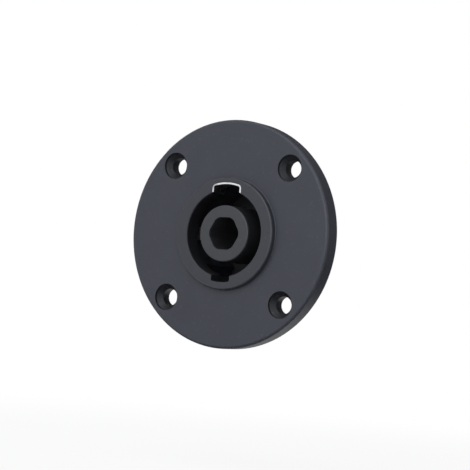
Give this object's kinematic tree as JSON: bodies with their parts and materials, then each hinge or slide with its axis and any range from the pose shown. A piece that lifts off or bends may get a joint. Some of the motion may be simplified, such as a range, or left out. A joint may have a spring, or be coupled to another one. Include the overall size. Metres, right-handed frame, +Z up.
{
  "type": "speaker connector panel socket",
  "caption": "Round flange panel socket for a twist-lock loudspeaker plug, with keyed bore, central post, steel latch keeper, spring contacts and flat rear tabs.",
  "frame": {"origin": "on the socket's axis, in the plane of the flange's rear face, which seats on the panel", "axes": "+Y along the socket's axis from the plug's side into the panel, +Z up through the wide key notch"},
  "size_m": [0.057, 0.0306, 0.057],
  "materials": {
    "moulding": "black glass-filled polyamide, fine satin moulding",
    "insert": "black glass-filled polyamide, satin moulding",
    "plated_steel": "bright nickel-plated spring steel sheet",
    "silver_plate": "silver-plated copper alloy strip"
  },
  "bodies": {
    "root": {"housing": "moulding", "contact_insert": "insert", "latch_keeper": "plated_steel", "contact_1_plus": "silver_plate", "contact_1_minus": "silver_plate", "contact_2_plus": "silver_plate", "contact_2_minus": "silver_plate"}
  },
  "joints": []
}
